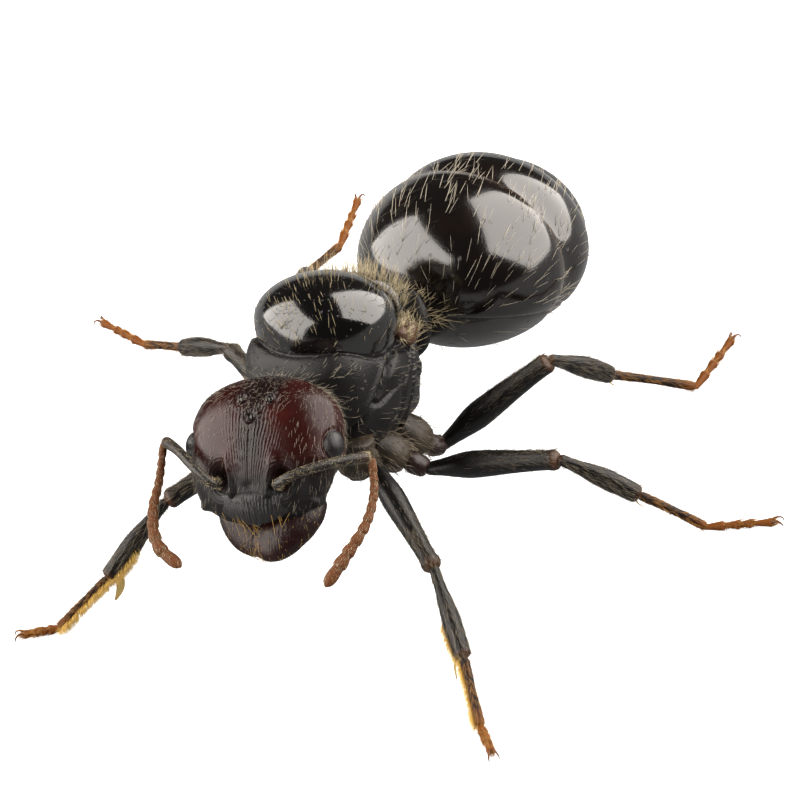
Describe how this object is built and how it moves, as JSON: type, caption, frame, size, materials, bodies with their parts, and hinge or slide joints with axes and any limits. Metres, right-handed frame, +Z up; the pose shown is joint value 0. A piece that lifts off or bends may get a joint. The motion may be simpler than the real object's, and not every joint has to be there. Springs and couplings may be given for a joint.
{
  "type": "ant",
  "caption": "Wingless harvester ant queen: life-size still model standing on six legs, with a dark red head, black shiny trunk and gaster, and orange feelers and feet.",
  "frame": {"origin": "on the floor, under the middle of the ant's bounding box, legs and feelers included", "axes": "+Z up; the ant faces -Y; its left side is towards +X"},
  "size_m": [0.0206, 0.0174, 0.0069],
  "materials": {
    "gloss_shell": "glossy",
    "satin_shell": "satin",
    "gaster_shell": "glossy",
    "head_shell": "satin",
    "mandible": "glossy",
    "eye": "satin",
    "scape": "satin",
    "antenna": "satin",
    "leg_shell": "glossy",
    "foot": "satin",
    "hair": "satin"
  },
  "bodies": {
    "root": {"pronotum": "satin_shell", "scutum": "gloss_shell", "scutellum": "gloss_shell", "mesothorax": "satin_shell", "propodeum": "satin_shell", "petiole": "satin_shell", "postpetiole": "satin_shell", "gaster_tergite_1": "gaster_shell", "gaster_tergite_2": "gaster_shell", "gaster_tergite_3": "gaster_shell", "gaster_tergite_4": "gaster_shell", "gaster_sternite_1": "gaster_shell", "gaster_sternite_2": "gaster_shell", "head": "head_shell", "eye_left": "eye", "mandible_left": "mandible", "antenna_scape_left": "scape", "antenna_lash_left": "antenna", "eye_right": "eye", "mandible_right": "mandible", "antenna_scape_right": "scape", "antenna_lash_right": "antenna", "leg_front_left_coxa": "satin_shell", "leg_front_left_trochanter": "foot", "leg_front_left_femur": "leg_shell", "leg_front_left_tibia": "leg_shell", "leg_front_left_basitarsus": "foot", "leg_front_left_tarsus": "foot", "leg_front_right_coxa": "satin_shell", "leg_front_right_trochanter": "foot", "leg_front_right_femur": "leg_shell", "leg_front_right_tibia": "leg_shell", "leg_front_right_basitarsus": "foot", "leg_front_right_tarsus": "foot", "leg_mid_left_coxa": "satin_shell", "leg_mid_left_trochanter": "foot", "leg_mid_left_femur": "leg_shell", "leg_mid_left_tibia": "leg_shell", "leg_mid_left_basitarsus": "foot", "leg_mid_left_tarsus": "foot", "leg_mid_right_coxa": "satin_shell", "leg_mid_right_trochanter": "foot", "leg_mid_right_femur": "leg_shell", "leg_mid_right_tibia": "leg_shell", "leg_mid_right_basitarsus": "foot", "leg_mid_right_tarsus": "foot", "leg_hind_left_coxa": "satin_shell", "leg_hind_left_trochanter": "foot", "leg_hind_left_femur": "leg_shell", "leg_hind_left_tibia": "leg_shell", "leg_hind_left_basitarsus": "foot", "leg_hind_left_tarsus": "foot", "leg_hind_right_coxa": "satin_shell", "leg_hind_right_trochanter": "foot", "leg_hind_right_femur": "leg_shell", "leg_hind_right_tibia": "leg_shell", "leg_hind_right_basitarsus": "foot", "leg_hind_right_tarsus": "foot"}
  },
  "joints": []
}
